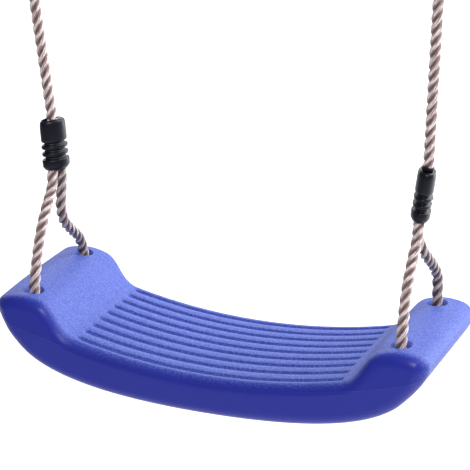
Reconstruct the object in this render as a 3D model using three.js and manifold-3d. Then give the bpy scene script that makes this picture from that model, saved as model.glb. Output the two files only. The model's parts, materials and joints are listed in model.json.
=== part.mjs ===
// Plastic swing seat on two ropes, millimetres, +Z up.
// X runs along the seat, from the left rope to the right one; Y runs to the back.
// The origin is on the hang line, where the hooks bear under the top of both rings,
// above the middle of the seat.
import * as THREE from 'three';
import { mergeVertices } from 'three/addons/utils/BufferGeometryUtils.js';
import Module from 'manifold-3d';

const wasm = await Module();
wasm.setup();

// ---- driving dimensions ----------------------------------------------------

const gap = 0.3;                  // clearance between pieces that touch

const seatLength = 458;           // over both ends
const seatDepth = 176;            // front to back
const seatThickness = 43;         // at the middle, from the ribbed top to the underside
const blockTopBelowHang = 485.5;  // from the hang line down to the end blocks' tops
const dishDrop = 55.5;            // how far the middle of the top lies under the end blocks
const dishRadius = 620;           // curve of the ribbed top, along the seat
const blockLength = 62;           // of each raised end block, along the seat
const riseLength = 25;            // of the slope from the ribbed dish up to a block
const edgeRound = 12;             // rounding of the front and back edges
const noseRadius = 13;            // rounding of the end blocks' outer ends
const seatWall = 3;               // wall of the hollow seat

const grooveCount = 9;
const groovePitch = 17.75;
const grooveRadius = 2.7;
const grooveInset = 3;            // from a groove's end to the foot of the slope

const holeInset = 34;             // from the rope holes to the seat's end
const holeSpread = 120;           // from the front holes to the back ones
const mouthRadius = 9;            // of a rope hole, at the top of its rounded rim
const mouthDepth = 6;             // over which the rim narrows to the hole
const collarDepth = 11;           // of the moulded collar under a rope hole

const ropeDiameter = 10;
const ropePlay = 1.5;             // round the rope in the seat's holes and channels
const ropeSides = 10;
const underRunDrop = 51;          // rope under the seat, below the end blocks' tops
const underBend = 20;             // bend of the rope from a hole to the underside
const holeLead = 4;               // straight rope in a hole before that bend

const sleeveHeight = 52.5;
const sleeveWall = 4.3;           // of the moulded sleeve, round its two ropes
const crimpHeight = 7.5;
const crimpWall = 0.8;
const sleevePlay = 0.5;           // round the ropes inside a sleeve
const ropesApart = 0.4;           // between the two ropes side by side in a sleeve
const mouthFlare = 0.6;           // of a sleeve's wide mouth

const eyeRadius = 19;             // rope's bend round the thimble
const eyeNeck = 38;               // from the upper sleeve to the middle of that bend
const thimbleWall = 2.4;
const thimbleWidth = 13.6;
const thimbleFlange = 3.2;        // rise of the thimble's edges beside the rope

const ringBore = 46;              // inside width of a hanger ring
const ringWire = 7;
const ringClearance = 1.2;        // between the ring's wire and the thimble's edges

const degrees = THREE.MathUtils.degToRad;

// ---- where the pieces hang -------------------------------------------------

const dishHalfSpan = seatLength / 2 - blockLength - riseLength;
const grooveHalfLength = dishHalfSpan - grooveInset;
const holeX = seatLength / 2 - holeInset;
const holeY = holeSpread / 2;
const ropeRadius = ropeDiameter / 2;
const flexLength = ropeRadius + 2 * gap;
const ringRadius = (ringBore + ringWire) / 2;
const legOffset = ropeRadius + ropesApart / 2;
const passageWidth = legOffset + ropeRadius + sleevePlay;
const passageDepth = ropeRadius + sleevePlay;
const sleeveHalfWidth = passageWidth + sleeveWall;
const sleeveHalfDepth = passageDepth + sleeveWall;

// One entry for each side, its rope routes chosen by hand. Every x is measured from that
// side's two rope holes, y from the middle of the seat and z from the end blocks' tops:
// [x, z] of the lower sleeve's two ends, its turn about its own length, the x of the ring,
// and the [x, y, z] points of the taut front leg and the slack back leg.
const sides = {
  left: {
    sign: -1,
    sleeveFoot: [-0.9, 110],
    sleeveHead: [-5.4, 162.3],
    sleeveTurn: -35,
    ringX: -47,
    frontLeg: [[-3.2, -8.5, 90], [-2.2, -24, 73.5], [-1.3, -39, 54.5], [-0.7, -50, 32],
      [-0.2, -57.5, 11]],
    backLeg: [[2.4, 3, 86], [1.8, 2.5, 67], [1.1, 11, 49.5], [0.6, 29, 34], [0.2, 48.5, 18.5]],
  },
  right: {
    sign: 1,
    sleeveFoot: [-3.4, 106],
    sleeveHead: [3, 158.1],
    sleeveTurn: 15,
    ringX: 11,
    frontLeg: [[-2.6, -9.5, 88], [-3.1, -20.5, 70], [-3, -32.5, 53.5], [-2, -44.5, 34.5],
      [-0.7, -54, 14]],
    backLeg: [[-6.9, 7.5, 87], [-4.2, 13.5, 72], [-2, 27, 57.5], [-1.4, 47, 42], [-0.7, 60, 25]],
  },
};

const atSeat = (x, y, z) => new THREE.Vector3(x, y, z - blockTopBelowHang);
const atHoles = (data, x, y, z) => atSeat(data.sign * holeX + x, y, z);

// ---- materials --------------------------------------------------------------

const bluePlastic = { color: 0x3c46c8, roughness: 0.5, metalness: 0 };
const blackPlastic = { color: 0x17171d, roughness: 0.42, metalness: 0 };
const hempRope = { color: 0xb79e9a, roughness: 0.85, metalness: 0 };
const zincSteel = { color: 0xb9bcc0, roughness: 0.35, metalness: 1 };

// ---- small helpers ----------------------------------------------------------

function toSolid(geometry) {
  const bare = geometry.clone();
  bare.deleteAttribute('normal');
  bare.deleteAttribute('uv');
  const merged = mergeVertices(bare, 1e-4);
  return new wasm.Manifold(new wasm.Mesh({
    numProp: 3,
    vertProperties: new Float32Array(merged.attributes.position.array),
    triVerts: new Uint32Array(merged.index.array),
  }));
}

function toGeometry(solid) {
  const mesh = solid.getMesh();
  const geometry = new THREE.BufferGeometry();
  geometry.setAttribute('position', new THREE.BufferAttribute(mesh.vertProperties, 3));
  geometry.setIndex(new THREE.BufferAttribute(mesh.triVerts, 1));
  geometry.computeVertexNormals();
  return geometry;
}

const part = new THREE.Group();

function addPiece(name, geometry, look) {
  const mesh = new THREE.Mesh(geometry, new THREE.MeshStandardMaterial(look));
  mesh.name = name;
  part.add(mesh);
  return mesh;
}

function circle(radius, sides) {
  const shape = new THREE.Shape();
  for (let i = 0; i < sides; i += 1) {
    const angle = (2 * Math.PI * (i + 0.5)) / sides;
    const x = radius * Math.cos(angle);
    const y = radius * Math.sin(angle);
    if (i === 0) shape.moveTo(x, y);
    else shape.lineTo(x, y);
  }
  shape.closePath();
  return shape;
}

function tube(curve, radius, steps, sideCount = ropeSides) {
  return new THREE.ExtrudeGeometry(circle(radius, sideCount), { extrudePath: curve, steps });
}

function ropeCurve(points) {
  return new THREE.CatmullRomCurve3(points, false, 'centripetal');
}

function straight(from, to) {
  return new THREE.LineCurve3(from, to);
}

function box(low, high) {
  const size = high.map((value, i) => value - low[i]);
  const geometry = new THREE.BoxGeometry(...size);
  return geometry.translate(...low.map((value, i) => value + size[i] / 2));
}

// ---- the seat ---------------------------------------------------------------

// Half of the seat's side outline: from the middle of the top, over the end block and
// round its nose, to the middle of the underside.
function halfOutline() {
  const end = seatLength / 2;
  const foot = new THREE.Vector2(
    dishHalfSpan,
    dishRadius - dishDrop - Math.sqrt(dishRadius ** 2 - dishHalfSpan ** 2),
  );
  const blockStart = end - blockLength;
  const top = [];
  const angle = Math.asin(dishHalfSpan / dishRadius);
  for (let i = 0; i < 7; i += 1) {
    const a = (angle * i) / 7;
    top.push(new THREE.Vector2(
      dishRadius * Math.sin(a),
      dishRadius * (1 - Math.cos(a)) - dishDrop,
    ));
  }
  const rise = new THREE.CubicBezierCurve(
    foot,
    new THREE.Vector2(foot.x + 19, foot.y + 4.4),
    new THREE.Vector2(blockStart - 6, -13),
    new THREE.Vector2(blockStart + 10, -4.8),
  );
  const noseCentre = new THREE.Vector2(end - noseRadius, -1.2 * noseRadius);
  const crown = new THREE.CubicBezierCurve(
    new THREE.Vector2(blockStart + 10, -4.8),
    new THREE.Vector2(blockStart + 22, -0.4),
    new THREE.Vector2(end - 28, 1.6),
    new THREE.Vector2(
      noseCentre.x + noseRadius * Math.sin(degrees(15)),
      noseCentre.y + noseRadius * Math.cos(degrees(15)),
    ),
  );
  const nose = new THREE.EllipseCurve(
    noseCentre.x, noseCentre.y, noseRadius, noseRadius, degrees(75), degrees(-12), true,
  );
  const noseEnd = nose.getPoint(1);
  const flank = new THREE.Vector2(end - 25, -55);
  const cheek = new THREE.CubicBezierCurve(
    noseEnd,
    new THREE.Vector2(noseEnd.x - 3.3, noseEnd.y - 15.6),
    new THREE.Vector2(flank.x + 6.6, flank.y + 7.2),
    flank,
  );
  const belly = new THREE.CubicBezierCurve(
    flank,
    new THREE.Vector2(end - 52.7, -85.2),
    new THREE.Vector2(105, -dishDrop - seatThickness),
    new THREE.Vector2(0, -dishDrop - seatThickness),
  );
  return [
    ...top,
    ...rise.getPoints(8).slice(0, -1),
    ...crown.getPoints(7).slice(0, -1),
    ...nose.getPoints(6).slice(0, -1),
    ...cheek.getPoints(4).slice(0, -1),
    ...belly.getPoints(9),
  ];
}

function seatOutline() {
  const right = halfOutline();
  const left = right.slice(1, -1).reverse().map((p) => new THREE.Vector2(-p.x, p.y));
  return new THREE.Shape([...right, ...left].reverse());
}

// The outline carried from front to back, its edges rounded, drawn in by inset.
function seatBody(inset) {
  const round = Math.max(edgeRound - inset, 2);
  const straightDepth = seatDepth - 2 * inset - 2 * round;
  const geometry = new THREE.ExtrudeGeometry(seatOutline(), {
    depth: straightDepth,
    bevelEnabled: true,
    bevelThickness: round,
    bevelSize: round,
    bevelOffset: -round - inset,
    bevelSegments: inset > 0 ? 1 : 3,
    steps: 1,
  });
  geometry.translate(0, 0, -straightDepth / 2);
  return toSolid(geometry.rotateX(Math.PI / 2));
}

const topAt = (x) => dishRadius - dishDrop - Math.sqrt(dishRadius ** 2 - x ** 2);

function groove(y) {
  const points = [];
  for (let i = -4; i <= 4; i += 1) {
    const x = (grooveHalfLength * i) / 4;
    points.push(new THREE.Vector3(x, y, topAt(x) + 0.2));
  }
  return toSolid(tube(new THREE.CatmullRomCurve3(points), grooveRadius, 8, 6));
}

// Funnel of a rope hole, turned about its own axis and standing on the block's top.
function holeFunnel() {
  const narrow = ropeRadius + ropePlay;
  const profile = [
    [0, 8],
    [mouthRadius + 4, 8],
    [mouthRadius + 1, 0],
    [narrow + 0.7, -mouthDepth / 2],
    [narrow, -mouthDepth],
    [narrow, -collarDepth - 4],
    [0, -collarDepth - 4],
  ];
  const points = profile.reverse().map(([r, z]) => new THREE.Vector2(r, z));
  return new THREE.LatheGeometry(points, 16).rotateX(Math.PI / 2);
}

function buildSeat() {
  let seat = seatBody(0);
  const outer = seat;
  const run = ropeRadius + ropePlay;
  const channelRoof = -underRunDrop + run;
  const deep = -dishDrop - seatThickness;
  seat = seat.subtract(seatBody(seatWall));
  for (const x of [-holeX, holeX]) {
    const housing = toSolid(box(
      [x - run - seatWall, -holeY - run - seatWall, deep],
      [x + run + seatWall, holeY + run + seatWall, channelRoof + seatWall],
    ));
    seat = seat.add(housing.intersect(outer));
    for (const y of [-holeY, holeY]) {
      const collar = new THREE.CylinderGeometry(mouthRadius + 3, mouthRadius + 1, collarDepth + 8, 16);
      collar.rotateX(Math.PI / 2).translate(x, y, 8 - (collarDepth + 8) / 2);
      seat = seat.add(toSolid(collar).intersect(outer));
      seat = seat.subtract(toSolid(holeFunnel().translate(x, y, 0)));
      const slot = toSolid(box(
        [x - run, Math.min(y, y - Math.sign(y) * underBend) - run * (y < 0 ? 1 : 0), channelRoof - 1],
        [x + run, Math.max(y, y - Math.sign(y) * underBend) + run * (y > 0 ? 1 : 0),
          channelRoof + seatWall + 1],
      ));
      seat = seat.subtract(slot);
    }
    seat = seat.subtract(toSolid(box(
      [x - run, -holeY - run, deep - 1],
      [x + run, holeY + run, channelRoof],
    )));
  }
  for (let i = 0; i < grooveCount; i += 1) {
    seat = seat.subtract(groove((i - (grooveCount - 1) / 2) * groovePitch));
  }
  return toGeometry(seat).translate(0, 0, -blockTopBelowHang);
}

addPiece('seat_shell', buildSeat(), bluePlastic);

// ---- moulded sleeves, with the rope and a steel crimp inside ----------------

// Radius of a sleeve along its height, as shares of its half width: a wide collar over
// the two ropes, two thin rings between deep grooves, and a smooth domed barrel.
function sleeveProfile() {
  const shares = [
    [0, 0], [0.8, 0], [0.98, 0.13], [1, 0.2], [0.78, 0.25], [0.78, 0.28], [0.93, 0.3],
    [0.93, 0.38], [0.78, 0.4], [0.78, 0.43], [0.93, 0.45], [0.93, 0.52], [0.78, 0.54],
    [0.78, 0.57], [0.93, 0.62], [0.91, 0.84], [0.8, 0.94], [0.6, 1], [0, 1],
  ];
  return shares.map(([r, z]) => new THREE.Vector2(r * sleeveHalfWidth, z * sleeveHeight));
}

// The two ropes inside a sleeve, in the sleeve's own frame with its wide end at z = 0.
const standingInside = new THREE.CatmullRomCurve3([
  new THREE.Vector3(-legOffset, 0, 0),
  new THREE.Vector3(-legOffset, 0, 0.2 * sleeveHeight),
  new THREE.Vector3(-legOffset, 0, 0.4 * sleeveHeight),
  new THREE.Vector3(0, 0, 0.94 * sleeveHeight),
  new THREE.Vector3(0, 0, sleeveHeight),
]);
const tailTop = 0.34 * sleeveHeight;

// An upright prism with two straight flanks and two round ends.
function stadium(halfWidth, halfDepth, low, high) {
  const reach = halfWidth - halfDepth;
  const shape = new THREE.Shape();
  shape.moveTo(-reach, -halfDepth);
  shape.absarc(reach, 0, halfDepth, -Math.PI / 2, Math.PI / 2, false);
  shape.absarc(-reach, 0, halfDepth, Math.PI / 2, 1.5 * Math.PI, false);
  const geometry = new THREE.ExtrudeGeometry(shape, {
    depth: high - low, bevelEnabled: false, curveSegments: 4,
  });
  return geometry.translate(0, 0, low);
}

const crimpLow = 0.07 * sleeveHeight;
const crimpHigh = crimpLow + crimpHeight;

function sleeveSolid() {
  const geometry = new THREE.LatheGeometry(sleeveProfile(), 16);
  geometry.rotateX(Math.PI / 2).scale(1, sleeveHalfDepth / sleeveHalfWidth, 1);
  let sleeve = toSolid(geometry);
  const lead = 2;
  const crimpRoom = crimpWall + gap;
  const passages = [
    stadium(passageWidth, passageDepth, -lead, tailTop + gap),
    stadium(passageWidth + mouthFlare, passageDepth + 2 * mouthFlare, -lead, crimpLow - 1),
    stadium(passageWidth + crimpRoom, passageDepth + crimpRoom, crimpLow - gap, crimpHigh + gap),
    tube(standingInside, ropeRadius + sleevePlay, 8, 12),
    tube(straight(new THREE.Vector3(0, 0, 0.84 * sleeveHeight),
      new THREE.Vector3(0, 0, sleeveHeight + lead)), ropeRadius + sleevePlay, 1, 12),
  ];
  for (const passage of passages) sleeve = sleeve.subtract(toSolid(passage));
  return sleeve;
}

function crimpSolid() {
  const band = toSolid(stadium(passageWidth + crimpWall, passageDepth + crimpWall, crimpLow, crimpHigh));
  return band.subtract(toSolid(stadium(passageWidth, passageDepth, crimpLow - 1, crimpHigh + 1)));
}

const sleeveGeometry = toGeometry(sleeveSolid());
const crimpGeometry = toGeometry(crimpSolid());

// Place of a sleeve: its wide end at foot, its length towards head, its two ropes side
// by side along Y after a turn about its own length.
function sleeveFrame(foot, head, turn) {
  const up = head.clone().sub(foot).normalize();
  const across = new THREE.Vector3(0, 1, 0).applyAxisAngle(up, degrees(turn));
  const through = new THREE.Vector3().crossVectors(up, across);
  const frame = new THREE.Matrix4().makeBasis(across, through, up);
  return frame.setPosition(foot);
}

function placed(geometry, frame) {
  return geometry.clone().applyMatrix4(frame);
}

function insidePoint(frame, x, z) {
  return new THREE.Vector3(x, 0, z).applyMatrix4(frame);
}

// The standing rope's points from a sleeve's wide end to its narrow end.
function standingPoints(frame) {
  return standingInside.points.map((point) => point.clone().applyMatrix4(frame));
}

// ---- one rope with its fittings ---------------------------------------------

function ropeStretch(name, points, steps) {
  const curve = ropeCurve(points);
  addPiece(name, tube(curve, ropeRadius, steps), hempRope);
}

function moved(from, towards, distance) {
  const step = towards.clone().sub(from).setLength(distance);
  return from.clone().add(step);
}

function buildSide(side, data) {
  const foot = atHoles(data, data.sleeveFoot[0], 0, data.sleeveFoot[1]);
  const head = atHoles(data, data.sleeveHead[0], 0, data.sleeveHead[1]);
  head.copy(moved(foot, head, sleeveHeight));
  const lower = sleeveFrame(foot, head, data.sleeveTurn);

  const flexPoint = moved(foot, head, sleeveHeight + flexLength);
  const ringCentre = new THREE.Vector3(data.sign * holeX + data.ringX, 0, -ringBore / 2);
  const pull = ringCentre.clone().sub(flexPoint).normalize();
  const wirePoint = ringCentre.clone().addScaledVector(pull, -ringRadius);
  const along = (distance) => wirePoint.clone().addScaledVector(pull, -distance);

  // The ring's wire bends up past the thimble's edges, which therefore rest on it first.
  const edgeRise = ringRadius - Math.sqrt(ringRadius ** 2 - (thimbleWidth / 2) ** 2);
  const seatRadius = eyeRadius - ropeRadius - gap - thimbleWall;
  const crownToWire = seatRadius - ringWire / 2 - edgeRise - ringClearance;
  const eyeCentre = along(crownToWire);
  const upperFoot = along(crownToWire + eyeNeck);
  const upperHead = along(crownToWire + eyeNeck + sleeveHeight);
  const upper = sleeveFrame(upperFoot, upperHead, 0);

  addPiece(`hanger_ring_${side}`, ringGeometry(ringCentre), zincSteel);
  addPiece(`thimble_${side}`, thimbleGeometry(eyeCentre, pull, seatRadius), blackPlastic);
  addPiece(`upper_sleeve_${side}`, placed(sleeveGeometry, upper), blackPlastic);
  addPiece(`upper_crimp_${side}`, placed(crimpGeometry, upper), zincSteel);
  addPiece(`lower_sleeve_${side}`, placed(sleeveGeometry, lower), blackPlastic);
  addPiece(`lower_crimp_${side}`, placed(crimpGeometry, lower), zincSteel);

  buildEyeRope(side, eyeCentre, pull);
  buildHangingRope(side, upper, flexPoint);
  buildLegs(side, data, lower);
}

// A closed ring of round wire, standing in the plane of the ropes.
function ringGeometry(centre) {
  const geometry = new THREE.TorusGeometry(ringRadius, ringWire / 2, 8, 24);
  return geometry.rotateX(Math.PI / 2).translate(centre.x, centre.y, centre.z);
}

// Outline of the eye, in its own plane with the middle of its crown at (0, 0): up one
// flank, round the crown, and down the other flank.
function eyePath(radius, neck, spread) {
  const path = new THREE.Path();
  const lean = Math.atan((radius - spread) / neck);
  const tangentX = radius * Math.cos(lean);
  const tangentY = -radius * Math.sin(lean);
  path.moveTo(-spread, -neck);
  path.lineTo(-0.5 * (tangentX + spread), 0.5 * (tangentY - neck));
  path.lineTo(-tangentX, tangentY);
  path.absarc(0, 0, radius, Math.PI + lean, -lean, true);
  path.lineTo(0.5 * (tangentX + spread), 0.5 * (tangentY - neck));
  path.lineTo(spread, -neck);
  return path;
}

// The rope's own line through the eye, with its tail down inside the upper sleeve.
function eyeRopeCurve() {
  const points = eyePath(eyeRadius, eyeNeck - ropeRadius, legOffset).getPoints(8);
  points.unshift(new THREE.Vector2(-legOffset, -eyeNeck + gap));
  points.push(new THREE.Vector2(legOffset, -eyeNeck - 0.5 * tailTop));
  points.push(new THREE.Vector2(legOffset, -eyeNeck - tailTop + gap));
  return ropeCurve(points.map((p) => new THREE.Vector3(p.x, p.y, 0)));
}

// A pear-shaped liner in the rope's eye, its outer face hollowed to seat the rope.
function thimbleGeometry(centre, pull, seatRadius) {
  const half = thimbleWidth / 2;
  const plate = (extra, halfDepth) => {
    const path = eyePath(seatRadius + extra, 0.62 * eyeNeck + extra, 3 + extra);
    const geometry = new THREE.ExtrudeGeometry(new THREE.Shape(path.getPoints(8)), {
      depth: 2 * halfDepth, bevelEnabled: false,
    });
    return toSolid(geometry.translate(0, 0, -halfDepth));
  };
  const ropeSeat = toSolid(tube(eyeRopeCurve(), ropeRadius + gap + 0.2, 32, 12));
  const solid = plate(thimbleWall + thimbleFlange, half).subtract(plate(0, half + 1)).subtract(ropeSeat);
  return toGeometry(solid).applyMatrix4(eyeFrame(centre, pull));
}

// Frame of the eye's plane: its x across the ropes, its y along the pull.
function eyeFrame(centre, pull) {
  const across = new THREE.Vector3(0, 1, 0);
  const through = new THREE.Vector3().crossVectors(across, pull);
  return new THREE.Matrix4().makeBasis(across, pull, through).setPosition(centre);
}

function buildEyeRope(side, centre, pull) {
  const geometry = tube(eyeRopeCurve(), ropeRadius, 32);
  addPiece(`eye_rope_${side}`, geometry.applyMatrix4(eyeFrame(centre, pull)), hempRope);
}

function buildHangingRope(side, upper, flexPoint) {
  const inside = standingPoints(upper);
  const lowest = flexPoint.clone();
  const middle = inside[inside.length - 1].clone().lerp(lowest, 0.5);
  const curve = ropeCurve([...inside, middle, lowest]);
  const dome = new THREE.SphereGeometry(ropeRadius, 10, 6);
  dome.translate(lowest.x, lowest.y, lowest.z);
  const solid = toSolid(tube(curve, ropeRadius, 28)).add(toSolid(dome));
  addPiece(`hanging_rope_${side}`, toGeometry(solid), hempRope);
}

function buildLegs(side, data, lower) {
  const x = data.sign * holeX;
  const bendStart = -underRunDrop + underBend;
  const meeting = bendStart + holeLead;
  const frontHole = [atSeat(x, -holeY, -4), atSeat(x, -holeY, meeting + gap)];
  const backHole = [atSeat(x, holeY, -4), atSeat(x, holeY, meeting + gap)];

  const front = data.frontLeg.map((point) => atHoles(data, ...point));
  const back = data.backLeg.map((point) => atHoles(data, ...point));
  const standing = standingPoints(lower).reverse();
  ropeStretch(`front_leg_rope_${side}`, [...standing, ...front, ...frontHole], 22);

  const tail = [insidePoint(lower, legOffset, tailTop - gap), insidePoint(lower, legOffset, 0)];
  ropeStretch(`back_leg_rope_${side}`, [...tail, ...back, ...backHole], 20);

  const under = new THREE.Path();
  under.moveTo(-holeY, meeting);
  under.lineTo(-holeY, bendStart);
  under.absarc(-holeY + underBend, bendStart, underBend, Math.PI, 1.5 * Math.PI, false);
  under.lineTo(holeY - underBend, -underRunDrop);
  under.absarc(holeY - underBend, bendStart, underBend, 1.5 * Math.PI, 2 * Math.PI, false);
  under.lineTo(holeY, meeting);
  const run = under.getPoints(6).map((p) => atSeat(x, p.x, p.y));
  ropeStretch(`under_seat_rope_${side}`, run, 16);
}

for (const [side, data] of Object.entries(sides)) buildSide(side, data);

export default part;
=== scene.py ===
# %% [markdown]
# # A plastic swing seat on two twisted ropes
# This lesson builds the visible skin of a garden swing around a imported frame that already
# holds every size and joint. The seat is a hollow blow-moulded plank with a dished, ribbed
# middle and a raised block at each end. One rope on each side comes down from a steel ring,
# passes a black moulded sleeve, and splits into a front leg and a back leg.
# Everything is in metres, with +Z up and the origin on the line where the hooks bear.

# %% The frame, and its box before anything is added
import json
import math
import bmesh
import bpy
from mathutils import Matrix, Vector
from mathutils.geometry import interpolate_bezier
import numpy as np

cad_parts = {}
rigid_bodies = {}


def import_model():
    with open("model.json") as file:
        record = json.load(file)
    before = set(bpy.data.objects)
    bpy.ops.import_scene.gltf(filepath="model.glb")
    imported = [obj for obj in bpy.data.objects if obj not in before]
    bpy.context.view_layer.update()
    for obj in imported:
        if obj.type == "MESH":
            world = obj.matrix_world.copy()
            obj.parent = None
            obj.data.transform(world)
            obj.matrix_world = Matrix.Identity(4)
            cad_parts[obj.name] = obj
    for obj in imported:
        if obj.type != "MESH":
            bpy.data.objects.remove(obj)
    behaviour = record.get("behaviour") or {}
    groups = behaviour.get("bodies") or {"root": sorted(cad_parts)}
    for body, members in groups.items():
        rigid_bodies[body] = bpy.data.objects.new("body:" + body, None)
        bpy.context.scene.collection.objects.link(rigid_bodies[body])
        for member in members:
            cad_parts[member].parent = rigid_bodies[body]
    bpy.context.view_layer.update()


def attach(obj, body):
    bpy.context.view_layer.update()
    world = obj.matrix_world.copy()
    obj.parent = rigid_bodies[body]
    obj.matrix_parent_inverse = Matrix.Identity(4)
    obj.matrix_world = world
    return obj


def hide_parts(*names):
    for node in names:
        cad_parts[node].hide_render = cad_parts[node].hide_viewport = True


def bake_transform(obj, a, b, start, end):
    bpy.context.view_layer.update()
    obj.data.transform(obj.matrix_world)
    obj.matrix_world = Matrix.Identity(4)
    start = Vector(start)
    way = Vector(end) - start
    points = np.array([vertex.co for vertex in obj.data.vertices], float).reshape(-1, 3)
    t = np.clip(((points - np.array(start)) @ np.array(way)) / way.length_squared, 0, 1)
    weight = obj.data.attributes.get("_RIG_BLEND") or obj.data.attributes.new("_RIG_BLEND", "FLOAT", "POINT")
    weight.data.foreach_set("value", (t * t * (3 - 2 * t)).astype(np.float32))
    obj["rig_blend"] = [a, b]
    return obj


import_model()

# %% [markdown]
# ## The camera
# The picture is taken from the front right and a little above, through a long lens, so the
# seat shows almost no convergence. The camera is placed by an azimuth, an elevation, a roll
# and a distance round a target, which is easier to reason about than a position and angles.

# %% Camera
mm = 0.001
BLOCK_TOP = -0.4855            # height of the end blocks' tops, below the hang line

CAMERA_AZIMUTH = 21.15
CAMERA_ELEVATION = 19.77
CAMERA_ROLL = 0.38
CAMERA_DISTANCE = 2.419
CAMERA_TARGET = Vector((-0.0001, 0, BLOCK_TOP + 0.0638))


def camera_axes(azimuth, elevation, roll):
    """Right, up and backward directions of a camera, from its angles in degrees."""
    a, e, r = (math.radians(value) for value in (azimuth, elevation, roll))
    back = Vector((math.sin(a) * math.cos(e), -math.cos(a) * math.cos(e), math.sin(e)))
    right = Vector((0, 0, 1)).cross(back).normalized()
    up = back.cross(right)
    turned_right = right * math.cos(r) + up * math.sin(r)
    turned_up = up * math.cos(r) - right * math.sin(r)
    return turned_right, turned_up, back


right, up, back = camera_axes(CAMERA_AZIMUTH, CAMERA_ELEVATION, CAMERA_ROLL)
camera_data = bpy.data.cameras.new("camera")
camera_data.sensor_width = 36
camera_data.lens = 185
camera_data.clip_end = 50
camera = bpy.data.objects.new("camera", camera_data)
camera.matrix_world = Matrix((right, up, back)).transposed().to_4x4()
camera.location = CAMERA_TARGET + back * CAMERA_DISTANCE
bpy.context.scene.collection.objects.link(camera)
bpy.context.scene.camera = camera
print("camera at", [round(value, 3) for value in camera.location])

# %% [markdown]
# ## Two small helpers
# A bmesh is Blender's editable mesh. Each piece below is shaped in one and then turned into
# an object that stays at the origin, with its place in its own mesh.

# %% Turning a bmesh into an object, and a smooth line through chosen points
def make_object(name, bm, material=None):
    """An object at the origin from a bmesh, smooth shaded."""
    bmesh.ops.remove_doubles(bm, verts=bm.verts, dist=1e-6)
    bmesh.ops.recalc_face_normals(bm, faces=bm.faces)
    mesh = bpy.data.meshes.new(name)
    bm.to_mesh(mesh)
    bm.free()
    mesh.polygons.foreach_set("use_smooth", [True] * len(mesh.polygons))
    piece = bpy.data.objects.new(name, mesh)
    bpy.context.scene.collection.objects.link(piece)
    if material:
        mesh.materials.append(material)
    print(name, "has", len(mesh.polygons), "faces")
    return piece


def smooth_line(points, step):
    """A smooth curve through the points, resampled so that its points lie a step apart."""
    points = [Vector(p) for p in points]
    fine = []
    for i in range(len(points) - 1):
        before = points[max(i - 1, 0)]
        start, end = points[i], points[i + 1]
        after = points[min(i + 2, len(points) - 1)]
        length = (end - start).length
        leave = ((end - before).normalized() if i else (end - start).normalized()) * length / 3
        arrive = (after - start).normalized() * length / 3
        fine += interpolate_bezier(start, start + leave, end - arrive, end, 24)[:-1]
    fine.append(points[-1])
    travelled = [0.0]
    for a, b in zip(fine, fine[1:]):
        travelled.append(travelled[-1] + (b - a).length)
    count = max(2, round(travelled[-1] / step))
    line, i = [], 0
    for k in range(count + 1):
        wanted = travelled[-1] * k / count
        while i < len(fine) - 2 and travelled[i + 1] < wanted:
            i += 1
        share = (wanted - travelled[i]) / (travelled[i + 1] - travelled[i])
        line.append(fine[i].lerp(fine[i + 1], share))
    return line


def line_length(points):
    """Length of a line through the points."""
    return sum((b - a).length for a, b in zip(points, points[1:]))


# %% [markdown]
# ## Where the ropes run
# Each side is one rope. It is described by the two ends of its lower sleeve, the place of
# its ring, and the routes of its two legs, in metres. Every x is measured from that side's
# two rope holes, y from the middle of the seat and z from the end blocks' tops. The front
# legs are pulled straight and the back legs hang slack.

# %% Rope sizes and routes
ROPE = 10 * mm
SLEEVE_HEIGHT = 52.5 * mm
LEG_OFFSET = 5.2 * mm
FLEX_LENGTH = 5.6 * mm
HOLE_X, HOLE_Y = 195 * mm, 60 * mm
UNDER_DROP, UNDER_BEND, HOLE_LEAD = 51 * mm, 20 * mm, 4 * mm
TAIL = 0.34 * SLEEVE_HEIGHT
RING_BORE, RING_WIRE = 46 * mm, 7 * mm
RING_RADIUS = (RING_BORE + RING_WIRE) / 2
EYE_RADIUS, EYE_NECK = 19 * mm, 38 * mm
THIMBLE_WALL, THIMBLE_WIDTH, RING_CLEARANCE = 2.4 * mm, 13.6 * mm, 1.2 * mm
GAP = 0.3 * mm

SIDES = {
    "left": {
        "sign": -1,
        "foot": (-0.0009, 0.11), "head": (-0.0054, 0.1623), "turn": -35, "ring_x": -0.047,
        "front": [(-0.0032, -0.0085, 0.09), (-0.0022, -0.024, 0.0735),
                  (-0.0013, -0.039, 0.0545), (-0.0007, -0.05, 0.032),
                  (-0.0002, -0.0575, 0.011)],
        "back": [(0.0024, 0.003, 0.086), (0.0018, 0.0025, 0.067), (0.0011, 0.011, 0.0495),
                 (0.0006, 0.029, 0.034), (0.0002, 0.0485, 0.0185)],
    },
    "right": {
        "sign": 1,
        "foot": (-0.0034, 0.106), "head": (0.003, 0.1581), "turn": 15, "ring_x": 0.011,
        "front": [(-0.0026, -0.0095, 0.088), (-0.0031, -0.0205, 0.07),
                  (-0.003, -0.0325, 0.0535), (-0.002, -0.0445, 0.0345),
                  (-0.0007, -0.054, 0.014)],
        "back": [(-0.0069, 0.0075, 0.087), (-0.0042, 0.0135, 0.072), (-0.002, 0.027, 0.0575),
                 (-0.0014, 0.047, 0.042), (-0.0007, 0.06, 0.025)],
    },
}


def at_holes(data, x, y, z):
    """A point whose x is measured from one side's rope holes and z from the blocks' tops."""
    return Vector((data["sign"] * HOLE_X + x, y, z + BLOCK_TOP))


def sleeve_frame(foot, head, turn):
    """Placing matrix of a sleeve: x across its two ropes, z from its wide end upwards."""
    axis = (head - foot).normalized()
    across = Matrix.Rotation(math.radians(turn), 3, axis) @ Vector((0, 1, 0))
    across = (across - axis * across.dot(axis)).normalized()
    through = axis.cross(across)
    matrix = Matrix((across, through, axis)).transposed().to_4x4()
    matrix.translation = foot
    return matrix


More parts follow.
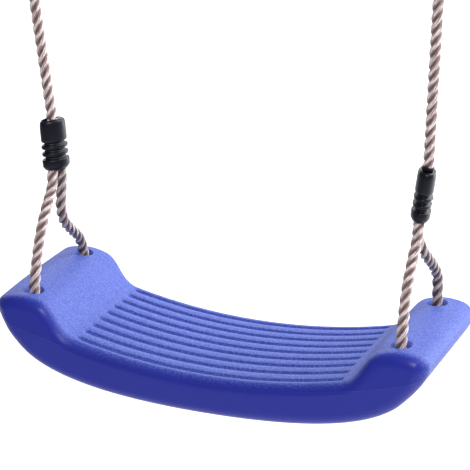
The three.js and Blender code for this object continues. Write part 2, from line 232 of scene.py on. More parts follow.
def side_places(data):
    """Every place on one side that the rope and its fittings need."""
    foot = at_holes(data, data["foot"][0], 0, data["foot"][1])
    head = at_holes(data, data["head"][0], 0, data["head"][1])
    axis = (head - foot).normalized()
    flex = foot + axis * (SLEEVE_HEIGHT + FLEX_LENGTH)
    ring = Vector((data["sign"] * HOLE_X + data["ring_x"], 0, -RING_BORE / 2))
    pull = (ring - flex).normalized()
    wire = ring - pull * RING_RADIUS
    edge_rise = RING_RADIUS - math.sqrt(RING_RADIUS ** 2 - (THIMBLE_WIDTH / 2) ** 2)
    bore = EYE_RADIUS - ROPE / 2 - GAP - THIMBLE_WALL
    to_wire = bore - RING_WIRE / 2 - edge_rise - RING_CLEARANCE
    eye = wire - pull * to_wire
    upper_foot = eye - pull * EYE_NECK
    upper_head = upper_foot - pull * SLEEVE_HEIGHT
    return {
        "lower": sleeve_frame(foot, foot + axis * SLEEVE_HEIGHT, data["turn"]),
        "upper": sleeve_frame(upper_foot, upper_head, 0),
        "flex": flex, "ring": ring, "pull": pull, "wire": wire, "eye": eye, "bore": bore,
    }


def inside(matrix, x, height):
    """A point inside a sleeve, x across it and a share of its height above its wide end."""
    return matrix @ Vector((x, 0, height * SLEEVE_HEIGHT))


def standing(matrix):
    """The through-going rope inside a sleeve, from its wide end to its narrow end."""
    return [inside(matrix, x, z) for x, z in
            ((-LEG_OFFSET, 0), (-LEG_OFFSET, 0.2), (-LEG_OFFSET, 0.4), (0, 0.94), (0, 1))]


PLACES = {side: side_places(data) for side, data in SIDES.items()}
for side, places in PLACES.items():
    print(side, "rope bends at", [round(value, 4) for value in places["flex"]])


# %% [markdown]
# ## Laying a rope
# The rope is three strands twisted round each other to the right, each a bundle of yarns.
# A flat texture on a tube would give it a smooth outline, and the outline is what the eye
# reads first, so each strand is a real tube that winds round the rope's line. Its section
# is a ring of points, extruded a step at a time and set on the strand's own line. Two
# attributes go with it: how far out a point lies, which places the painted shade in the
# valleys and the painted highlight on the crowns, and a fibre coordinate that runs with the
# strand.

# %% The strands
LAY = 34 * mm                  # length of one full turn of a strand
STRAND_OUT = 3.05 * mm         # from the rope's line to a strand's line
STRAND_SIDES = 24
YARNS = 8
ROPE_STEP = 1.3 * mm


def level_frames(line):
    """Two directions across the line at each point, carried along without twisting."""
    across = None
    frames = []
    for i, point in enumerate(line):
        tangent = (line[min(i + 1, len(line) - 1)] - line[max(i - 1, 0)]).normalized()
        if across is None:
            across = Vector((1, 0.3, 0.1))
        across = (across - tangent * across.dot(tangent)).normalized()
        frames.append((tangent, across, tangent.cross(across)))
    return frames


def strand_line(line, frames, start_angle, step):
    """The helix that one strand follows round the rope's line."""
    helix = []
    for i, (point, (_, across, beside)) in enumerate(zip(line, frames)):
        angle = start_angle + 2 * math.pi * i * step / LAY
        helix.append(point + (across * math.cos(angle) + beside * math.sin(angle)) * STRAND_OUT)
    return helix


def section_point(k, turn):
    """A point of a strand's section: out and sideways, with its yarns as small ripples."""
    angle = 2 * math.pi * k / STRAND_SIDES
    ripple = 1 + 0.045 * math.cos(YARNS * (angle + turn))
    return (2.65 * mm * ripple * math.cos(angle), 2.7 * mm * ripple * math.sin(angle))


def add_strand(bm, line, helix, step):
    """Extrudes one strand along its helix, closed at both ends."""
    out_layer = bm.verts.layers.float["out"]
    fibre_layer = bm.verts.layers.float_vector["fibre"]
    ring = bmesh.ops.create_circle(bm, cap_ends=True, segments=STRAND_SIDES, radius=mm)["verts"]
    for i, centre in enumerate(helix):
        if i:
            edges = list({e for v in ring for e in v.link_edges if e.other_vert(v) in set(ring)})
            made = bmesh.ops.extrude_edge_only(bm, edges=edges)["geom"]
            fresh = {v for v in made if isinstance(v, bmesh.types.BMVert)}
            ring = [next(e.other_vert(v) for e in v.link_edges if e.other_vert(v) in fresh)
                    for v in ring]
        tangent = (helix[min(i + 1, len(helix) - 1)] - helix[max(i - 1, 0)]).normalized()
        outward = centre - line[i]
        outward = (outward - tangent * outward.dot(tangent)).normalized()
        beside = tangent.cross(outward)
        for k, vert in enumerate(ring):
            x, y = section_point(k, i * step / (9 * mm))
            vert.co = centre + outward * x + beside * y
            vert[out_layer] = (vert.co - line[i]).length / (ROPE / 2)
            angle = 2 * math.pi * k / STRAND_SIDES + i * step / (9 * mm)
            vert[fibre_layer] = (math.cos(angle), math.sin(angle), i * step / mm)
    bmesh.ops.contextual_create(bm, geom=ring)


def lay_rope(name, points, start_angle=0.0):
    """A three-strand rope along a smooth line through the points, and that line."""
    line = smooth_line(points, ROPE_STEP)
    frames = level_frames(line)
    step = line_length(line) / (len(line) - 1)
    bm = bmesh.new()
    bm.verts.layers.float.new("out")
    bm.verts.layers.float_vector.new("fibre")
    for strand in range(3):
        helix = strand_line(line, frames, start_angle + strand * 2 * math.pi / 3, step)
        add_strand(bm, line, helix, step)
    piece = make_object(name, bm)
    print("   ", round(line_length(line), 4), "m of rope")
    return piece, line


# %% [markdown]
# ## The ropes
# The stretches meet inside the sleeves and the seat, where nothing shows. The single rope
# above a lower sleeve is what bends when the seat tips, so its end is blended across that
# joint and the rest of it rides with the ropes.

# %% Hanging ropes, legs, the runs under the seat and the eyes
def declare(line):
    """Works out a rope's length and a few of its points, and keeps neither."""
    round(line_length(line), 4)
    ([tuple(p) for p in line[::3]]
            + [tuple(line[-1])])


def rope_stretch(name, points, body, start_angle=0.0):
    """A stretch of rope that rides on one body and stands for its frame node."""
    piece, line = lay_rope(name + "_laid", points, start_angle)
    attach(piece, body)
    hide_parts(name)
    declare(line)
    return piece


def eye_points(places):
    """The rope's line round the thimble, from the upper sleeve's mouth to its tail."""
    across = Vector((0, 1, 0))
    lean = math.atan((EYE_RADIUS - LEG_OFFSET) / (EYE_NECK - ROPE / 2))
    flat = [(-LEG_OFFSET, -EYE_NECK + GAP), (-LEG_OFFSET, -EYE_NECK + ROPE / 2)]
    for i in range(9):
        angle = math.pi + lean - i * (math.pi + 2 * lean) / 8
        flat.append((EYE_RADIUS * math.cos(angle), EYE_RADIUS * math.sin(angle)))
    flat += [(LEG_OFFSET, -EYE_NECK + ROPE / 2), (LEG_OFFSET, -EYE_NECK - TAIL / 2),
             (LEG_OFFSET, -EYE_NECK - TAIL + GAP)]
    return [places["eye"] + across * x + places["pull"] * y for x, y in flat]


def under_points(x):
    """The rope's line under the seat, from one hole round to the other."""
    top = -UNDER_DROP + UNDER_BEND
    flat = [(-HOLE_Y, top + HOLE_LEAD)]
    for i in range(5):
        angle = math.pi + i * math.pi / 8
        flat.append((-HOLE_Y + UNDER_BEND + UNDER_BEND * math.cos(angle),
                     top + UNDER_BEND * math.sin(angle)))
    flat += [(-y, z) for y, z in reversed(flat)]
    return [Vector((x, y, z + BLOCK_TOP)) for y, z in flat]


ropes = []
for side, data in SIDES.items():
    places = PLACES[side]
    x = data["sign"] * HOLE_X
    hole_end = -UNDER_DROP + UNDER_BEND + HOLE_LEAD + GAP
    front_hole = [Vector((x, -HOLE_Y, z + BLOCK_TOP)) for z in (-4 * mm, hole_end)]
    back_hole = [Vector((x, HOLE_Y, z + BLOCK_TOP)) for z in (-4 * mm, hole_end)]
    front = [at_holes(data, *p) for p in data["front"]]
    slack = [at_holes(data, *p) for p in data["back"]]
    lower = places["lower"]

    ropes.append(rope_stretch("front_leg_rope_" + side,
                              standing(lower)[::-1] + front + front_hole, "seat"))
    ropes.append(rope_stretch("back_leg_rope_" + side,
                              [inside(lower, LEG_OFFSET, 0.33), inside(lower, LEG_OFFSET, 0)]
                              + slack + back_hole, "seat", 0.9))
    ropes.append(rope_stretch("under_seat_rope_" + side, under_points(x), "seat"))
    ropes.append(rope_stretch("eye_rope_" + side, eye_points(places), "ropes"))

    in_upper = standing(places["upper"])
    flex = places["flex"]
    straight = [in_upper[-1].lerp(flex, share) for share in (0.25, 0.5, 0.75)]
    piece, line = lay_rope("hanging_rope_" + side + "_laid",
                           in_upper + straight + [flex, inside(lower, 0, 0.99)])
    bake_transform(piece, "ropes", "seat", start=tuple(flex + places["pull"] * 12 * mm),
             end=tuple(flex - places["pull"] * 4.5 * mm))
    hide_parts("hanging_rope_" + side)
    declare(line)
    ropes.append(piece)
print("laid", len(ropes), "stretches of rope")


# %% [markdown]
# ## The seat's outline
# A seat like this is blow-moulded: a hot tube of plastic is closed in a mould and blown out
# against its walls, so every edge comes out rounded. Seen from the front it is one outline:
# a shallow dish between two raised blocks, with a rounded belly under it. The outline is
# drawn first, from an arc and a few Bezier curves, and only one half of it is described.

# %% Half of the outline, in millimetres, and the whole of it in metres
SEAT_DEPTH = 176
SEAT_END = 229                 # half of the seat's length
DISH_RADIUS, DISH_DROP, DISH_HALF = 620, 55.5, 142
SEAT_BOTTOM = -98.5
BLOCK_START = 167
NOSE_RADIUS = 13
EDGE_ROUND = 12
GROOVE_END = 142


def dish_top(x):
    """Height of the ribbed top at a distance x from the seat's middle."""
    return DISH_RADIUS - DISH_DROP - math.sqrt(DISH_RADIUS ** 2 - x ** 2)


def bezier(start, leave, arrive, end, count):
    """Points of a Bezier curve in the seat's upright plane, without its last point."""
    knots = [Vector((x, 0, z)) for x, z in (start, leave, arrive, end)]
    return interpolate_bezier(*knots, count + 1)[:-1]


def half_outline():
    """From the middle of the top, over the block and its nose, to the middle of the belly."""
    dish_x = [i * 6 for i in range(22)] + [127 + i for i in range(15)]
    top = [Vector((x, 0, dish_top(x))) for x in dish_x]
    foot = (DISH_HALF, dish_top(DISH_HALF))
    lip = (BLOCK_START + 10, -4.8)
    centre = Vector((SEAT_END - NOSE_RADIUS, 0, -1.2 * NOSE_RADIUS))
    nose = []
    for i in range(15):
        angle = math.radians(75 - 87 * i / 14)
        nose.append(centre + Vector((math.cos(angle), 0, math.sin(angle))) * NOSE_RADIUS)
    flank = (SEAT_END - 25, -55)
    rise = bezier(foot, (foot[0] + 19, foot[1] + 4.4), (BLOCK_START - 6, -13), lip, 18)
    crown = bezier(lip, (BLOCK_START + 22, -0.4), (SEAT_END - 28, 1.6),
                   (nose[0].x, nose[0].z), 20)
    cheek = bezier((nose[-1].x, nose[-1].z), (nose[-1].x - 3.3, nose[-1].z - 15.6),
                   (flank[0] + 6.6, flank[1] + 7.2), flank, 14)
    belly = bezier(flank, (SEAT_END - 52.7, -85.2), (105, SEAT_BOTTOM), (0, SEAT_BOTTOM), 24)
    return top + rise + crown + nose[:-1] + cheek + belly + [Vector((0, 0, SEAT_BOTTOM))]


def seat_outline():
    """The whole outline, in metres."""
    half = half_outline()
    whole = half + [Vector((-p.x, 0, p.z)) for p in half[-2:0:-1]]
    return [Vector((p.x, 0, p.z)) * mm + Vector((0, 0, BLOCK_TOP)) for p in whole]


print("outline of", len(seat_outline()), "points")

# %% [markdown]
# ## The seat's body
# The outline is filled, extruded from front to back, and its two edge loops are bevelled.
# The long edges are then cut into rows. The rows aren't even: they crowd together where a
# groove will be pressed in, so that nine narrow grooves come out crisp without a heavy mesh.

# %% Extrude, bevel and cut into rows
GROOVE_COUNT, GROOVE_PITCH = 9, 18.1
GROOVES = [(i - (GROOVE_COUNT - 1) / 2) * GROOVE_PITCH for i in range(GROOVE_COUNT)]


def row_places():
    """Where the rows of vertices lie from front to back, crowded at each groove."""
    near = (0, 0.9, 1.7, 2.4, 2.9, 3.2, 3.6, 4.3, 5.4, 7.0)
    rows = {round(y + side * offset, 3) for y in GROOVES for offset in near for side in (-1, 1)}
    rows |= {round(y + GROOVE_PITCH / 2, 3) for y in GROOVES[:-1]}
    return sorted(row for row in rows if abs(row) < SEAT_DEPTH / 2 - EDGE_ROUND - 0.5)


def seat_body():
    """The plain rounded body, with its rows in place."""
    bm = bmesh.new()
    depth = SEAT_DEPTH * mm
    verts = [bm.verts.new(p - Vector((0, depth / 2, 0))) for p in seat_outline()]
    front = bm.faces.new(verts)
    made = bmesh.ops.extrude_face_region(bm, geom=[front], use_keep_orig=True)["geom"]
    moved = [g for g in made if isinstance(g, bmesh.types.BMVert)]
    bmesh.ops.translate(bm, verts=moved, vec=(0, depth, 0))
    rims = [e for e in bm.edges if abs(e.verts[0].co.y - e.verts[1].co.y) < mm]
    bmesh.ops.bevel(bm, geom=rims, offset=EDGE_ROUND * mm, offset_type="OFFSET", segments=9,
                    profile=0.5, affect="EDGES", material=-1, clamp_overlap=False)
    bmesh.ops.recalc_face_normals(bm, faces=bm.faces)
    walls = [f for f in bm.faces if len(f.verts) > 8]
    bmesh.ops.inset_region(bm, faces=walls, thickness=0.5 * mm, use_even_offset=True)
    rows = row_places()
    long_edges = [e for e in bm.edges if e.calc_length() > depth / 2
                  and abs(e.verts[0].co.y - e.verts[1].co.y) > depth / 2]
    half = abs(long_edges[0].verts[0].co.y)
    bmesh.ops.subdivide_edges(bm, edges=long_edges, cuts=len(rows))
    for vert in bm.verts:
        share = (vert.co.y + half) / (2 * half) * (len(rows) + 1)
        if abs(vert.co.y) < half - 1e-5:
            vert.co.y = rows[min(max(round(share) - 1, 0), len(rows) - 1)] * mm
    return bm


seat_mesh = seat_body()
print("seat body:", len(seat_mesh.faces), "faces in", len(row_places()), "rows")

# %% [markdown]
# ## Ribs, crown and corners
# The top is pressed into shape by moving its vertices: each groove is a capsule, so its
# depth depends only on the distance to the groove's own line, and its ends come out round.
# The top also falls a little towards its front and back edges, and the four corners of the
# blocks are drawn in, because hot plastic never fills a sharp corner.

# %% Pressing the top
GROOVE_HALF_WIDTH, GROOVE_DEPTH = 3.4, 3.5
RIB_CROWN = 2.3


def smooth_step(value, low, high):
    """0 below low, 1 above high, and an even ramp between."""
    share = min(max((value - low) / (high - low), 0), 1)
    return share * share * (3 - 2 * share)


def pressed(x, y):
    """How far the top is pressed down at a point, in millimetres."""
    beyond = max(abs(x) - (GROOVE_END - GROOVE_HALF_WIDTH), 0)
    nearest = min(math.hypot(beyond, y - groove) for groove in GROOVES)
    drop = 0
    if nearest < GROOVE_HALF_WIDTH:
        drop = GROOVE_DEPTH * (1 - (nearest / GROOVE_HALF_WIDTH) ** 2) ** 0.7
    from_middle = abs((y / GROOVE_PITCH) % 1 - 0.5) * 2
    ribbed = smooth_step(-abs(x), -GROOVE_END - 1, -GROOVE_END + 3)
    ribbed *= smooth_step(-abs(y), -82, -76)
    drop += RIB_CROWN * ribbed * from_middle ** 2
    return drop + 2.0 * (min(abs(y), 88) / 80) ** 2 * 0.8


def draw_in_corner(x, y):
    """A point's x and y, with the plan corner of the block drawn in."""
    over_x, over_y = abs(x) - (SEAT_END - 20), abs(y) - (SEAT_DEPTH / 2 - 22)
    if over_x <= 0 or over_y <= 0:
        return x, y
    pull = 3.5 * smooth_step(over_x, 0, 20) * smooth_step(over_y, 6, 22)
    return math.copysign(abs(x) - pull, x), math.copysign(abs(y) - 0.4 * pull, y)


for vert in seat_mesh.verts:
    x, y, z = vert.co.x / mm, vert.co.y / mm, (vert.co.z - BLOCK_TOP) / mm
    middle = -77 + 62 * (abs(x) / SEAT_END) ** 2.2
    on_top = smooth_step(z, middle, middle + 10)
    if on_top > 0:
        vert.co.z -= pressed(x, y) * on_top * mm
    x, y = draw_in_corner(x, y)
    vert.co.x, vert.co.y = x * mm, y * mm
seat = make_object("seat_skin", seat_mesh)

# %% [markdown]
# ## Rope holes
# Four holes go down through the blocks to two channels in the underside. Each has a wide
# rounded mouth, turned as one profile with the spin operator. The seat is cut with these
# turned plugs by a boolean, and the result is kept as a plain mesh.

# %% Cutting the holes and channels
HOLE_PROFILE = ((0.0, 4), (16.0, 4), (15.4, 1.2), (13.0, -0.3), (11.6, -1.2), (10.4, -2.4),
                (9.5, -3.9), (8.6, -6), (7.6, -9), (6.7, -13), (6.5, -18), (6.5, -50), (0.0, -50))


def turned(profile, steps=48):
    """A solid of revolution about Z, from (radius, height) pairs in millimetres."""
    bm = bmesh.new()
    verts = [bm.verts.new((r * mm, 0, z * mm)) for r, z in profile]
    edges = [bm.edges.new(pair) for pair in zip(verts, verts[1:])]
    bmesh.ops.spin(bm, geom=verts + edges, cent=(0, 0, 0), axis=(0, 0, 1),
                   angle=2 * math.pi, steps=steps, use_merge=True)
    bmesh.ops.remove_doubles(bm, verts=bm.verts, dist=1e-6)
    bmesh.ops.recalc_face_normals(bm, faces=bm.faces)
    return bm


def cut(piece, cutters):
    """Cuts each cutter out of the piece, keeps the result as its mesh, and drops them."""
    for cutter in cutters:
        modifier = piece.modifiers.new(cutter.name, "BOOLEAN")
        modifier.operation = "DIFFERENCE"
        modifier.solver = "EXACT"
        modifier.object = cutter
    graph = bpy.context.evaluated_depsgraph_get()
    mesh = bpy.data.meshes.new_from_object(piece.evaluated_get(graph))
    piece.modifiers.clear()
    piece.data = mesh
    for cutter in cutters:
        bpy.data.objects.remove(cutter)


def box_bmesh(low, high):
    """A box between two corners, in metres."""
    bm = bmesh.new()
    bmesh.ops.create_cube(bm, size=1)
    size = Vector(high) - Vector(low)
    bmesh.ops.scale(bm, verts=bm.verts, vec=size)
    bmesh.ops.translate(bm, verts=bm.verts, vec=Vector(low) + size / 2)
    return bm


plugs = []
for x in (-HOLE_X, HOLE_X):
    for y in (-HOLE_Y, HOLE_Y):
        plug = turned(HOLE_PROFILE)
        bmesh.ops.translate(plug, verts=plug.verts, vec=(x, y, BLOCK_TOP))
        plugs.append(make_object("hole_plug", plug))
    channel = box_bmesh((x - 6.5 * mm, -66.5 * mm, BLOCK_TOP - 0.11),
                        (x + 6.5 * mm, 66.5 * mm, BLOCK_TOP - 44.5 * mm))
    plugs.append(make_object("channel_plug", channel))
cut(seat, plugs)
seat.data.set_sharp_from_angle(angle=math.radians(38))
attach(seat, "seat")
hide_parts("seat_shell")
print("seat skin:", len(seat.data.polygons), "faces")

# %% [markdown]
# ## The black sleeves
# A sleeve is a moulded plastic ferrule that holds the standing rope and its tail together.
# It is an oval turned shape: a wide collar, two thin rings between notches, and a smooth
# barrel. A cup is scooped out of the barrel's top where the single rope goes in, and a small
# nub is left where the plastic was fed into the mould.

# %% Turning, squashing and hollowing a sleeve
SLEEVE_WIDE, SLEEVE_DEEP = 15.0, 9.8
SLEEVE_PROFILE = (
    (0.0, 0.0), (0.78, 0.0), (0.825, 0.006), (0.955, 0.055), (0.985, 0.070), (1.0, 0.092),
    (1.0, 0.186), (0.985, 0.202), (0.94, 0.212), (0.82, 0.222), (0.76, 0.234), (0.745, 0.248),
    (0.76, 0.262), (0.82, 0.274), (0.92, 0.284), (0.96, 0.297), (0.97, 0.318), (0.96, 0.340),
    (0.92, 0.353), (0.82, 0.363), (0.76, 0.375), (0.745, 0.389), (0.76, 0.403), (0.82, 0.415),
    (0.92, 0.425), (0.96, 0.438), (0.97, 0.460), (0.96, 0.482), (0.92, 0.495), (0.82, 0.505),
    (0.76, 0.517), (0.745, 0.531), (0.76, 0.545), (0.82, 0.555), (0.91, 0.565), (0.945, 0.580),
    (0.955, 0.62), (0.95, 0.82), (0.94, 0.885), (0.915, 0.935), (0.87, 0.967), (0.80, 0.987),
    (0.70, 0.997), (0.60, 1.0), (0.0, 1.0))


def sleeve_body():
    """The oval turned body, its wide end at z = 0."""
    height = SLEEVE_HEIGHT / mm
    bm = turned([(r * SLEEVE_WIDE, z * height) for r, z in SLEEVE_PROFILE], 72)
    bmesh.ops.scale(bm, verts=bm.verts, vec=(1, SLEEVE_DEEP / SLEEVE_WIDE, 1))
    return bm


def ball(radius, place, stretch=(1, 1, 1)):
    """A stretched ball, in millimetres."""
    bm = bmesh.new()
    bmesh.ops.create_uvsphere(bm, u_segments=32, v_segments=20, radius=radius * mm)
    bmesh.ops.scale(bm, verts=bm.verts, vec=stretch)
    bmesh.ops.translate(bm, verts=bm.verts, vec=Vector(place) * mm)
    return bm


def sleeve_hollows(matrix):
    """What is cut out of a sleeve: its cup, the single rope's bore and the two ropes' room."""
    height = SLEEVE_HEIGHT / mm
    cup = ball(5.2, (-5.9, 0, height - 1.0), (1.1, 1.0, 1.3))
    bore = turned(((0, 0.42 * height), (6.2, 0.42 * height), (6.2, height + 3), (0, height + 3)), 32)
    room = turned(((0, -3), (6.0, -3), (6.0, 0.46 * height), (0, 0.46 * height)), 32)
    bmesh.ops.scale(room, verts=room.verts, vec=((6.0 + 5.2) / 6.0, 1, 1))
    hollows = []
    for name, bm in (("cup", cup), ("bore", bore), ("room", room)):
        bmesh.ops.transform(bm, matrix=matrix, verts=bm.verts)
        hollows.append(make_object(name, bm))
    return hollows


def build_sleeve(name, matrix, body):
    """A sleeve in its place, standing for its frame node."""
    bm = sleeve_body()
    bmesh.ops.transform(bm, matrix=matrix, verts=bm.verts)
    piece = make_object(name + "_moulded", bm)
    cut(piece, sleeve_hollows(matrix))
    piece.data.set_sharp_from_angle(angle=math.radians(50))
    nub = ball(1.1, (0, -0.94 * SLEEVE_DEEP, 0.44 * SLEEVE_HEIGHT / mm))
    bmesh.ops.transform(nub, matrix=matrix, verts=nub.verts)
    nub_piece = make_object(name + "_nub", nub)
    for made in (piece, nub_piece):
        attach(made, body)
    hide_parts(name)
    return [piece, nub_piece]


sleeves = []
for side, places in PLACES.items():
    sleeves += build_sleeve("lower_sleeve_" + side, places["lower"], "seat")
    sleeves += build_sleeve("upper_sleeve_" + side, places["upper"], "ropes")

# %% [markdown]
# ## The hanging rings
# Each rope ends in a thimble on a welded steel ring. The ring is a round wire bent into a
# circle, so it is made by spinning one small circle round the ring's middle, and the weld is
# a short swelling of the wire at the top.

# %% Rings with their welds
def ring_body(centre):
    """A ring of round wire in the plane of the ropes, with a weld at its top."""
    bm = bmesh.new()
    wire = bmesh.ops.create_circle(bm, segments=20, radius=RING_WIRE / 2)["verts"]
    bmesh.ops.translate(bm, verts=wire, vec=(RING_RADIUS, 0, 0))
    edges = list({e for v in wire for e in v.link_edges})
    bmesh.ops.spin(bm, geom=wire + edges, cent=(0, 0, 0), axis=(0, 1, 0),
                   angle=2 * math.pi, steps=120, use_merge=True)
    for vert in bm.verts:
        angle = math.atan2(vert.co.x, vert.co.z)
        middle = Vector((math.sin(angle), 0, math.cos(angle))) * RING_RADIUS
        swell = 1 + 0.13 * math.exp(-(angle * RING_RADIUS / (2.2 * mm)) ** 2)
        vert.co = middle + (vert.co - middle) * swell
    bmesh.ops.translate(bm, verts=bm.verts, vec=centre)
    return bm


rings = []
for side, places in PLACES.items():
    ring = make_object("hanger_ring_" + side + "_welded", ring_body(places["ring"]))
    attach(ring, "rings")
    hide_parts("hanger_ring_" + side)
    rings.append(ring)

# %% [markdown]
# ## Writing materials as sums
# Shader nodes are easier to read as arithmetic. A small class wraps one socket, and adding
# or multiplying two of them adds a Math node. Every other node comes from one method that
# sets the node's own settings first and its sockets afterwards.

# %% A wrapper for sockets, and a finish that holds the nodes
class Wire:
    """A socket that can be used in a Python expression."""

    def __init__(self, finish, socket):
        self.finish = finish
        self.socket = socket

    def math(self, operation, first, second):
        return self.finish.node("ShaderNodeMath", {"operation": operation},
                                {0: first, 1: second})

    def __add__(self, other):
        return self.math("ADD", self, other)

    def __radd__(self, other):
        return self.math("ADD", other, self)

    def __sub__(self, other):
        return self.math("SUBTRACT", self, other)

    def __rsub__(self, other):
        return self.math("SUBTRACT", other, self)

    def __mul__(self, other):
        return self.math("MULTIPLY", self, other)

    def __rmul__(self, other):
        return self.math("MULTIPLY", other, self)

    def __pow__(self, other):
        return self.math("POWER", self, other)


class Finish:
    """A material, and the nodes that make it."""

    def __init__(self, name):
        self.material = bpy.data.materials.new(name)
        self.material.use_nodes = True
        self.tree = self.material.node_tree
        self.shader = self.tree.nodes["Principled BSDF"]

    def feed(self, socket, value):
        """Links a wire to a socket, or sets the socket's own value."""
        if isinstance(value, Wire):
            self.tree.links.new(value.socket, socket)
        else:
            socket.default_value = value

    def node(self, kind, settings=None, sockets=None, out=0):
        """A node of any kind: its settings first, then its sockets."""
        made = self.tree.nodes.new(kind)
        for name, value in (settings or {}).items():
            if name == "stops":
                while len(made.color_ramp.elements) < len(value):
                    made.color_ramp.elements.new(0.5)
                for element, (place, colour) in zip(made.color_ramp.elements, value):
                    element.position = place
                    element.color = (*colour, 1)
            else:
                setattr(made, name, value)
        for key, value in (sockets or {}).items():
            self.feed(made.inputs[key], value)
        return Wire(self, made.outputs[out])

    def set(self, **values):
        """Sets or links the shader's sockets, whose names are written with underscores."""
        for name, value in values.items():
            words = name.replace("_", " ").title().replace("Ior", "IOR")
            self.feed(self.shader.inputs[words], value)

    def object_place(self):
        """Where a point lies on its own object, in metres."""
        return self.node("ShaderNodeTexCoord", out="Object")

    def split(self, vector):
        """The three parts of a vector."""
        parts = self.node("ShaderNodeSeparateXYZ", None, {0: vector})
        return [Wire(self, socket) for socket in parts.socket.node.outputs]

    def size_of(self, value):
        """A value without its sign."""
        return self.node("ShaderNodeMath", {"operation": "ABSOLUTE"}, {0: value})

    def attribute(self, name, out="Fac"):
        return self.node("ShaderNodeAttribute", {"attribute_name": name}, out=out)

    def noise(self, place, scale, detail=2.0, roughness=0.5):
        return self.node("ShaderNodeTexNoise", None,
                         {"Vector": place, "Scale": scale, "Detail": detail,
                          "Roughness": roughness})

    def ramp_up(self, value, low, high):
        """0 below low, 1 above high, smooth between."""
        return self.node("ShaderNodeMapRange", {"interpolation_type": "SMOOTHSTEP"},
                         {"Value": value, "From Min": low, "From Max": high})

    def mix(self, share, first, second):
        """A mix of two colours, given as RGB or as wires."""
        colours = [c if isinstance(c, Wire) else (*c, 1) for c in (first, second)]
        return self.node("ShaderNodeMix", {"data_type": "RGBA"},
                         {"Factor": share, 6: colours[0], 7: colours[1]}, out=2)

    def bump(self, height, distance, strength=1.0, normal=None):
        sockets = {"Height": height, "Distance": distance, "Strength": strength}
        if normal:
            sockets["Normal"] = normal
        return self.node("ShaderNodeBump", None, sockets)

    def give(self, *pieces):
        """Puts this finish on pieces, in place of what they had."""
        for piece in pieces:
            piece.data.materials.clear()
            piece.data.materials.append(self.material)


# %% [markdown]
# ## Blue blow-moulded plastic
# The mould's upper half is lightly sand-blasted, so the top is matt with a fine grain, and
# the walls, which slide out of the mould, are smoother. The top's colour is also painted
# lighter than the walls', as painted light from above, and the walls and rounded edges carry
# painted shade. The border between them is broken up into specks. Where the mould's halves
# meet there is a faint raised line.

# %% The seat's finish
blue = Finish("blue moulded plastic")
place = blue.object_place()
along, front_back, height = blue.split(place)
grain = blue.noise(place, 900, 3.0, 0.65)
specks = blue.noise(place, 560, 3.0, 0.7)
cloud = blue.noise(place, 14, 3.0, 0.55)
above_seam = height - (BLOCK_TOP - 0.0636) - along * along * 0.747
block = blue.ramp_up(blue.size_of(along), 0.150, 0.185)
inward = 0.0818 - block * 0.0022 - blue.size_of(front_back)
# This mask marks the sand-blasted top for its roughness and grain; in the colour it also places painted
# light on the top and painted shade on the walls and rounded edges.
matt_and_painted_light = (blue.ramp_up(inward + (specks - 0.5) * 0.007, -0.0055, 0.0055)
        * blue.ramp_up(above_seam + (specks - 0.5) * 0.01, 0.0, 0.003))
# Painted light and shade: the same plastic gets a darker colour on the walls and a lighter one on the top,
# with the grain's pale specks over the lit top.
painted_shade_wall_colour = blue.mix(cloud, (0.018, 0.026, 0.32), (0.023, 0.033, 0.37))
painted_lit_top_colour = blue.mix(cloud, (0.034, 0.060, 0.35), (0.048, 0.082, 0.42))
grain_on_lit_top = blue.mix(blue.ramp_up(specks * 0.6 + grain * 0.4, 0.40, 0.64),
                   painted_lit_top_colour, (0.125, 0.180, 0.58))
blue.set(base_color=blue.mix(matt_and_painted_light, painted_shade_wall_colour, grain_on_lit_top), specular_ior_level=0.26,
         roughness=0.36 + matt_and_painted_light * 0.19 + (grain - 0.5) * 0.10)
draft = blue.bump(-0.05 * blue.size_of(above_seam), 1.0)
waves = blue.bump(cloud, 0.0012, 0.6, draft)
grained = blue.bump((grain + specks) * matt_and_painted_light, 0.00035, 0.8, waves)
seam = 1 - blue.ramp_up(blue.size_of(above_seam), 0.0002, 0.0007)
blue.set(normal=blue.bump(seam, 0.0003, 0.8, grained))
blue.give(seat)

# %% [markdown]
# ## Black plastic, steel and rope
# The sleeves are a satin black with a breath of blue. The steel is zinc plated, with a faint
# mottle. The rope is a soft polypropylene that stands in for hemp: where its fibres crown
# outwards they carry a painted highlight, the valleys between the strands carry painted shade,
# and the slack back legs are painted darker as shade.

# %% The other finishes
black = Finish("black moulded plastic")
place = black.object_place()
fine = black.noise(place, 900, 3.0, 0.6)
black.set(base_color=black.mix(fine, (0.0030, 0.0034, 0.0085), (0.0062, 0.0068, 0.0145)),
          specular_ior_level=0.28, roughness=0.27 + fine * 0.14,
          normal=black.bump(fine, 0.00008, 0.5))
black.give(*sleeves)

steel = Finish("zinc plated steel")
place = steel.object_place()
mottle = steel.noise(place, 260, 4.0, 0.65)
steel.set(base_color=steel.mix(mottle, (0.50, 0.51, 0.53), (0.68, 0.69, 0.71)),
          metallic=1.0, roughness=0.24 + mottle * 0.2,
          normal=steel.bump(mottle, 0.0001, 0.4))
steel.give(*rings)


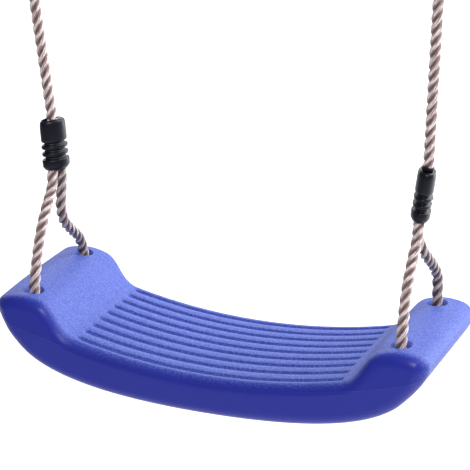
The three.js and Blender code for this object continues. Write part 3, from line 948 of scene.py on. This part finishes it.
def rope_finish(name, shade):
    """The rope's finish; shade below 1 darkens a slack leg's colour as painted shade."""
    hemp = Finish(name)
    out = hemp.attribute("out")
    fibre = hemp.attribute("fibre", "Vector")
    stretched = hemp.node("ShaderNodeVectorMath", {"operation": "MULTIPLY"},
                          {0: fibre, 1: (3.2, 3.2, 0.16)})
    hairs = hemp.noise(stretched, 4.0, 3.0, 0.6)
    patches = hemp.noise(stretched, 1.1, 2.0, 0.5)
    # This mask places a painted highlight on the strands' outermost fibres, broken into patches.
    crown = hemp.ramp_up(out + (hairs - 0.5) * 0.20 + (patches - 0.5) * 0.55, 1.03, 1.17)
    # Painted shade: the valleys between the strands are painted dark.
    valley_shade = 1 - hemp.ramp_up(out, 0.45, 0.95)
    # shade below 1 darkens every colour, as painted shade on the slack legs.
    dark = [c * shade for c in (0.165, 0.095, 0.095)]
    light = [c * shade for c in (0.36, 0.235, 0.230)]
    # Painted highlight: a near-white colour on the crowns.
    painted_highlight = [c * (0.30 + 0.70 * shade) for c in (0.98, 0.90, 0.89)]
    body = hemp.mix(hairs, dark, light)
    hemp.set(base_color=hemp.mix(valley_shade, hemp.mix(crown * 0.9, body, painted_highlight),
                                 [c * shade for c in (0.060, 0.030, 0.035)]),
             specular_ior_level=0.8, roughness=0.44 - crown * 0.14,
             normal=hemp.bump(hairs, 0.0004, 0.6))
    return hemp


hemp = rope_finish("twisted rope", 1.0)
# The slack back legs get the same rope painted darker, as painted shade.
shaded_slack_hemp = rope_finish("twisted rope of the slack legs, painted shade", 0.55)
for rope in ropes:
    (shaded_slack_hemp if rope.name.startswith("back_leg") else hemp).give(rope)

for name, node in (("thimble", black), ("upper_crimp", steel), ("lower_crimp", steel)):
    for side in SIDES:
        node.give(bpy.data.objects[name + "_" + side])
print("finishes:", [f.material.name for f in (blue, black, steel, hemp)])

# %% [markdown]
# ## Floor and light
# The floor is a wide pale sheet well under the seat, bright enough to read as white. Most of
# the light is a large soft panel overhead and another behind, so the top is bright and the
# front wall stays deep blue. A panel at the right lights the end of the seat, and a narrow
# one at the left draws a thin line of light down the black sleeves.

# %% Floor, lights and world
floor_bm = bmesh.new()
bmesh.ops.create_grid(floor_bm, x_segments=1, y_segments=1, size=9)
bmesh.ops.translate(floor_bm, verts=floor_bm.verts, vec=(0, 0, -1.15))
floor = make_object("floor", floor_bm)
pale = Finish("pale floor")
pale.set(base_color=pale.mix(pale.noise(pale.object_place(), 3.0), (0.90, 0.90, 0.90),
                             (0.93, 0.93, 0.93)), roughness=0.9)
pale.give(floor)


def panel(name, place, target, size, watts, colour=(1, 1, 1)):
    """A soft rectangular light that faces a point."""
    data = bpy.data.lights.new(name, "AREA")
    data.shape = "RECTANGLE"
    data.size, data.size_y = size
    data.energy = watts
    data.color = colour
    light = bpy.data.objects.new(name, data)
    place, target = Vector(place), Vector(target)
    light.matrix_world = (target - place).to_track_quat("-Z", "Y").to_matrix().to_4x4()
    light.location = place
    bpy.context.scene.collection.objects.link(light)
    return light


aim = (0, 0, BLOCK_TOP)
panel("overhead", (1.5, 0.9, 1.1), (0, 0.1, BLOCK_TOP), (1.8, 1.6), 54)
panel("behind", (-0.4, 3.2, 0.9), aim, (4.5, 2.0), 40)
panel("right side", (1.7, 2.2, -0.3), aim, (1.6, 1.3), 43, (0.93, 0.95, 1.0))
panel("left edge", (-1.6, 1.1, 0.1), aim, (0.25, 1.4), 7)
panel("key", (0.9, -1.8, 1.3), aim, (0.45, 0.45), 36, (1.0, 0.97, 0.95))
panel("floor behind", (0, 3.6, 1.6), (0, 3.6, -1.15), (6, 3), 150)

world = bpy.data.worlds.new("studio")
world.use_nodes = True
world.node_tree.nodes["Background"].inputs["Color"].default_value = (0.95, 0.97, 1.0, 1)
world.node_tree.nodes["Background"].inputs["Strength"].default_value = 0.20
bpy.context.scene.world = world
bpy.context.scene.view_settings.view_transform = "Standard"
